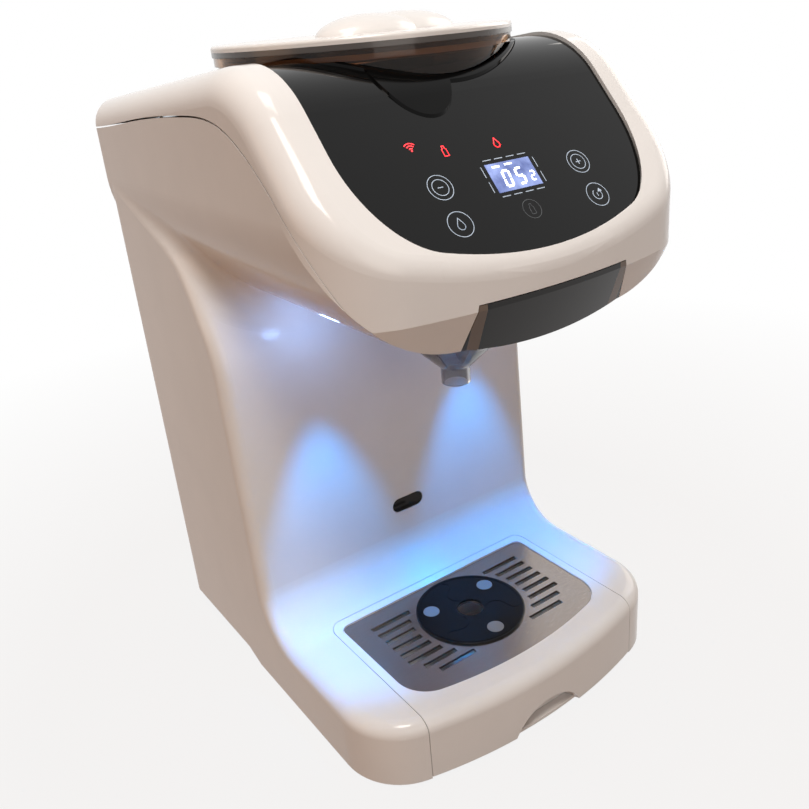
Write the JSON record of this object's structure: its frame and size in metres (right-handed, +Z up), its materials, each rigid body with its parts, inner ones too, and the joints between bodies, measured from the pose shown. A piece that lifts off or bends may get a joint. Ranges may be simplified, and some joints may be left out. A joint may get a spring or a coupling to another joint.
{
  "type": "baby formula maker",
  "caption": "Counter-top machine that warms water and mixes it with milk powder, with a dosing canister, pull-out mixing funnel, drip tray and rear water tank.",
  "frame": {"origin": "on the ground, under the middle of the machine's box", "axes": "+X to the viewer's right from the front, +Y to the rear, +Z up"},
  "size_m": [0.216, 0.273, 0.3806],
  "materials": {
    "shell_white": "warm white gloss moulding",
    "panel_black": "black gloss panel",
    "smoked_clear": "smoked transparent plastic",
    "tank_clear": "grey transparent plastic",
    "tank_grey": "dark gloss plastic",
    "steel": "brushed stainless steel",
    "dark_plastic": "fine-grained black plastic",
    "pad_grey": "soft grey rubber",
    "foot_rubber": "black rubber",
    "seal_rubber": "translucent silicone",
    "frame_plastic": "grey structural plastic",
    "gear_plastic": "natural acetal",
    "board_green": "circuit board",
    "display_dark": "display module",
    "lens_clear": "frosted lamp lens",
    "motor_metal": "plated steel can"
  },
  "bodies": {
    "machine": {"main_housing": "shell_white", "hood": "shell_white", "control_panel": "panel_black", "canister_collar": "panel_black", "sensor_window": "panel_black", "base_screws": "steel", "bottom_plate": "dark_plastic", "power_inlet": "dark_plastic", "feet": "foot_rubber", "water_hoses": "seal_rubber", "funnel_guide": "frame_plastic", "chassis_shelf": "frame_plastic", "gear_cover": "frame_plastic", "powder_chute": "frame_plastic", "water_spout": "frame_plastic", "tank_socket": "frame_plastic", "heater_bracket": "frame_plastic", "touch_board": "board_green", "sensor_board": "board_green", "lamp_boards": "board_green", "power_supply": "board_green", "control_board": "board_green", "display_module": "display_dark", "lamp_lenses": "lens_clear", "powder_motor": "motor_metal", "pump": "motor_metal", "heater": "motor_metal"},
    "drip_tray": {"drip_tray": "shell_white"},
    "drip_plate": {"drip_plate": "steel", "drain_puck": "dark_plastic", "puck_pads": "pad_grey"},
    "funnel_drawer": {"funnel_cover": "panel_black", "funnel_carrier": "frame_plastic", "mixing_funnel": "smoked_clear"},
    "canister": {"canister_body": "smoked_clear", "canister_base": "dark_plastic", "outlet_scraper": "gear_plastic"},
    "canister_lid": {"canister_lid": "shell_white", "lid_seal": "seal_rubber"},
    "dosing_wheel": {"dosing_wheel": "gear_plastic", "stirrer": "gear_plastic"},
    "drive_gear": {"drive_gear": "gear_plastic"},
    "pinion": {"pinion": "gear_plastic"},
    "water_tank": {"water_tank": "tank_clear"},
    "tank_lid": {"tank_lid": "tank_grey", "hinge_pin": "steel"},
    "tank_valve": {"tank_valve": "gear_plastic"}
  },
  "joints": [
    {"name": "drip_tray_slide", "type": "slide", "parent": "machine", "child": "drip_tray", "axis": [0, -1, 0], "range_m": [0, 0.1]},
    {"name": "drip_plate_lift", "type": "slide", "parent": "drip_tray", "child": "drip_plate", "axis": [0, 0, 1], "range_m": [0, 0.03]},
    {"name": "funnel_drawer_slide", "type": "slide", "parent": "machine", "child": "funnel_drawer", "axis": [0, -1, 0], "range_m": [0, 0.1]},
    {"name": "canister_lift", "type": "slide", "parent": "machine", "child": "canister", "axis": [0, 0, 1], "range_m": [0, 0.1]},
    {"name": "canister_lid_lift", "type": "slide", "parent": "canister", "child": "canister_lid", "axis": [0, 0, 1], "range_m": [0, 0.03]},
    {"name": "drive_gear_spin", "type": "hinge", "parent": "machine", "child": "drive_gear", "pos_m": [0, 0.008, 0.296], "axis": [0, 0, 1], "continuous": true},
    {"name": "pinion_spin", "type": "hinge", "parent": "machine", "child": "pinion", "pos_m": [0, 0.044, 0.296], "axis": [0, 0, 1], "continuous": true},
    {"name": "dosing_wheel_spin", "type": "hinge", "parent": "canister", "child": "dosing_wheel", "pos_m": [0, 0.008, 0.309], "axis": [0, 0, 1], "continuous": true},
    {"name": "water_tank_lift", "type": "slide", "parent": "machine", "child": "water_tank", "axis": [0, 0, 1], "range_m": [0, 0.25]},
    {"name": "tank_lid_hinge", "type": "hinge", "parent": "water_tank", "child": "tank_lid", "pos_m": [0, 0.133, 0.34048], "axis": [-1, 0, 0], "range_deg": [0, 90]},
    {"name": "tank_valve_lift", "type": "slide", "parent": "water_tank", "child": "tank_valve", "axis": [0, 0, 1], "range_m": [0, 0.003]}
  ],
  "couplings": [
    {"joint": "pinion_spin", "follows": "drive_gear_spin", "ratio": -3},
    {"joint": "dosing_wheel_spin", "follows": "drive_gear_spin", "ratio": 1}
  ]
}
